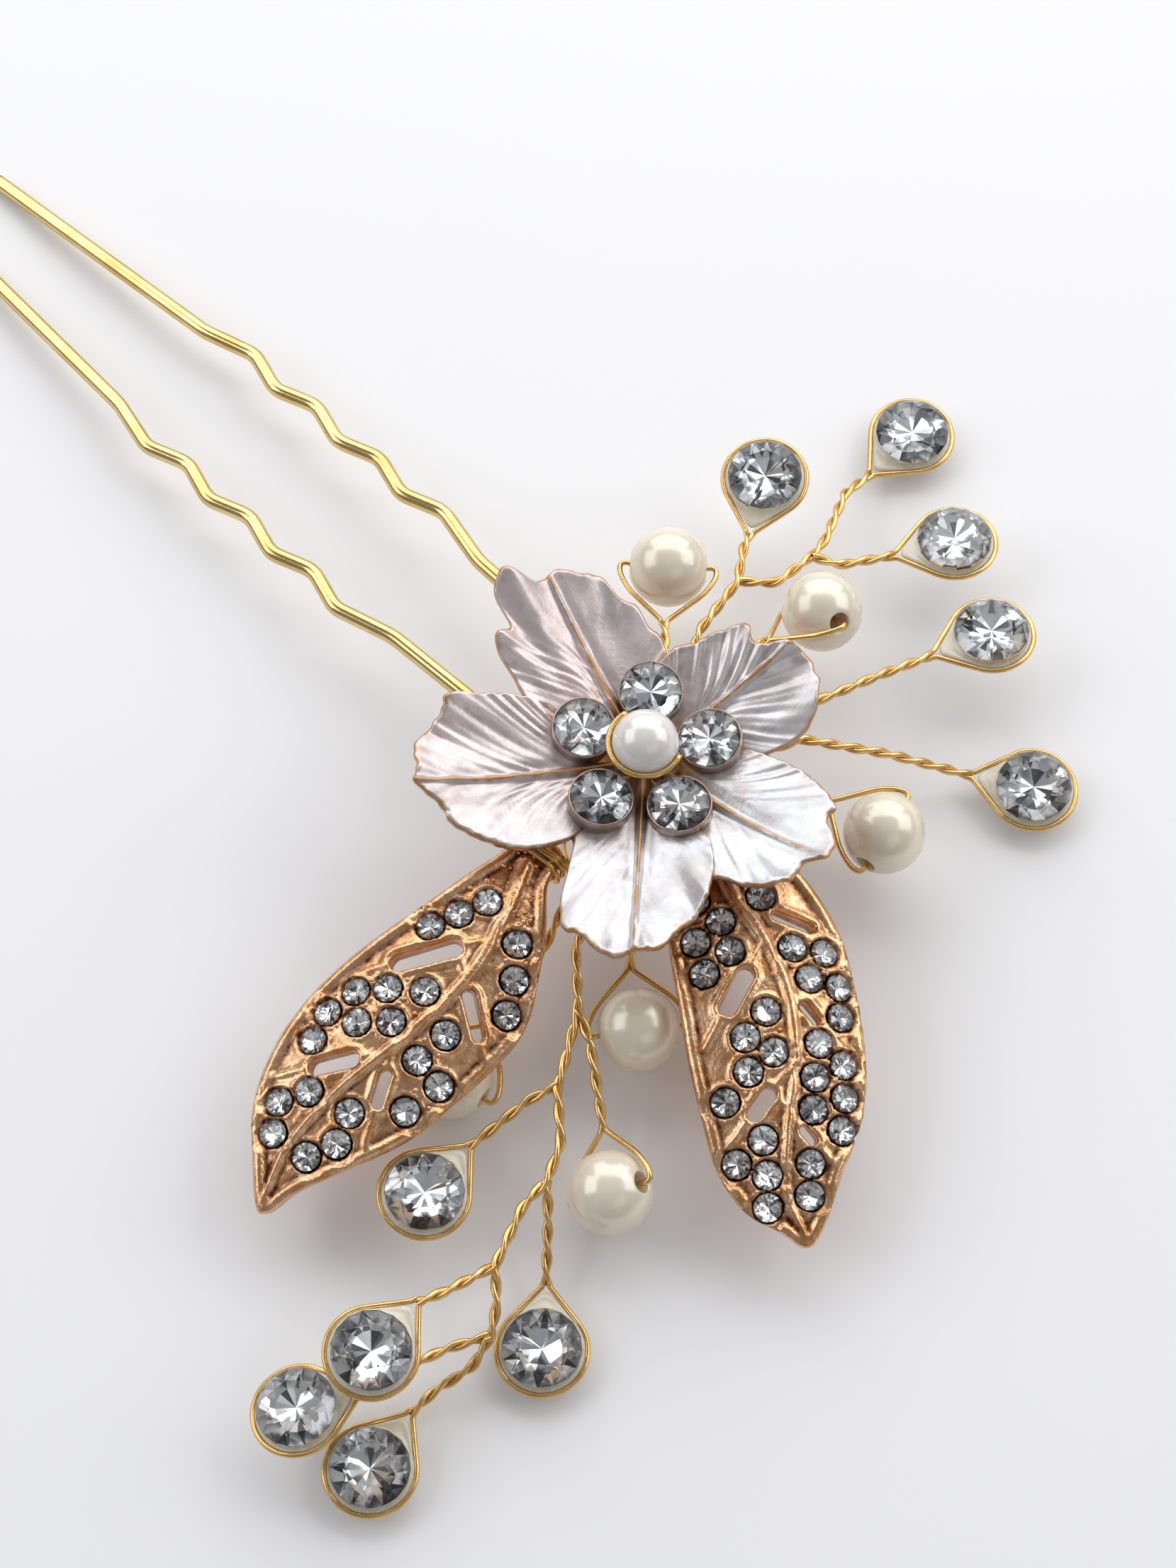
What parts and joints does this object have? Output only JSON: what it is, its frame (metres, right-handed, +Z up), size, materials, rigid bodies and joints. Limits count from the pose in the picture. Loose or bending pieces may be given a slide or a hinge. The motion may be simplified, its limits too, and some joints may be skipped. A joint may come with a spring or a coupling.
{
  "type": "decorative hair pin",
  "caption": "Wavy two-leg hair fork with a wired spray of an enamelled flower, openwork leaves, stone drops and pearls.",
  "frame": {"origin": "centre of the bounding box's base, on the surface the pin rests on", "axes": "+Y along the fork towards the tips of its legs, +Z up out of the face of the flower, +X to the right of the flower seen from the front with the fork pointing up"},
  "size_m": [0.0928, 0.108, 0.0152],
  "materials": {
    "fork_wire": "polished champagne gold plate",
    "gold_wire": "bright gold plate",
    "leaf_metal": "polished rose gold plate, dark recesses",
    "enamelled_casting": "satin pearly enamel over a gold casting",
    "foiled_stone": "faceted, foiled back",
    "pave_stone": "faceted, foiled back",
    "clear_resin": "milky clear resin",
    "ivory_pearl": "pearl lustre",
    "white_pearl": "pearl lustre"
  },
  "bodies": {
    "pin": {"hair_fork": "fork_wire", "crown_binding": "gold_wire", "flower_casting": "enamelled_casting", "centre_pearl": "white_pearl", "centre_wire": "gold_wire", "centre_stone_1": "foiled_stone", "centre_stone_2": "foiled_stone", "centre_stone_3": "foiled_stone", "centre_stone_4": "foiled_stone", "centre_stone_5": "foiled_stone", "leaf_left": "leaf_metal", "leaf_right": "leaf_metal", "leaf_left_stones": "pave_stone", "leaf_right_stones": "pave_stone", "leaf_left_binding": "gold_wire", "leaf_right_binding": "gold_wire", "drop_stone_1": "foiled_stone", "drop_stone_2": "foiled_stone", "drop_stone_3": "foiled_stone", "drop_stone_4": "foiled_stone", "drop_stone_5": "foiled_stone", "drop_stone_6": "foiled_stone", "drop_stone_7": "foiled_stone", "drop_stone_8": "foiled_stone", "drop_stone_9": "foiled_stone", "drop_stone_10": "foiled_stone", "drop_resin_1": "clear_resin", "drop_resin_2": "clear_resin", "drop_resin_3": "clear_resin", "drop_resin_4": "clear_resin", "drop_resin_5": "clear_resin", "drop_resin_6": "clear_resin", "drop_resin_7": "clear_resin", "drop_resin_8": "clear_resin", "drop_resin_9": "clear_resin", "drop_resin_10": "clear_resin", "wire_pearl_1": "gold_wire", "wire_upper_branch": "gold_wire", "wire_pearl_2": "gold_wire", "wire_drop_4": "gold_wire", "wire_drop_5": "gold_wire", "wire_pearl_3": "gold_wire", "wire_pearl_4": "gold_wire", "wire_pearl_6": "gold_wire", "wire_lower_branch": "gold_wire"},
    "pearl_1": {"pearl_1": "ivory_pearl"},
    "pearl_2": {"pearl_2": "ivory_pearl"},
    "pearl_3": {"pearl_3": "ivory_pearl"},
    "pearl_4": {"pearl_4": "ivory_pearl"},
    "pearl_5": {"pearl_5": "ivory_pearl"},
    "pearl_6": {"pearl_6": "ivory_pearl"}
  },
  "joints": [
    {"name": "pearl_1_spin", "type": "hinge", "parent": "pin", "child": "pearl_1", "pos_m": [0.01994, -0.01095, 0.006], "axis": [-0.6428, 0.766, 0], "continuous": true},
    {"name": "pearl_2_spin", "type": "hinge", "parent": "pin", "child": "pearl_2", "pos_m": [0.02524, -0.02165, 0.006], "axis": [0.1983, 0.7399, -0.6428], "continuous": true},
    {"name": "pearl_3_spin", "type": "hinge", "parent": "pin", "child": "pearl_3", "pos_m": [0.01564, -0.03675, 0.005], "axis": [0.9744, 0.225, 0], "continuous": true},
    {"name": "pearl_4_spin", "type": "hinge", "parent": "pin", "child": "pearl_4", "pos_m": [-0.00731, -0.0343, 0.0039], "axis": [0.788, -0.6157, 0], "continuous": true},
    {"name": "pearl_5_spin", "type": "hinge", "parent": "pin", "child": "pearl_5", "pos_m": [-0.01736, -0.04125, 0.004], "axis": [0.5868, -0.4924, 0.6428], "continuous": true},
    {"name": "pearl_6_spin", "type": "hinge", "parent": "pin", "child": "pearl_6", "pos_m": [-0.01886, -0.02705, 0.00305], "axis": [0.1736, -0.9848, 0], "continuous": true}
  ]
}
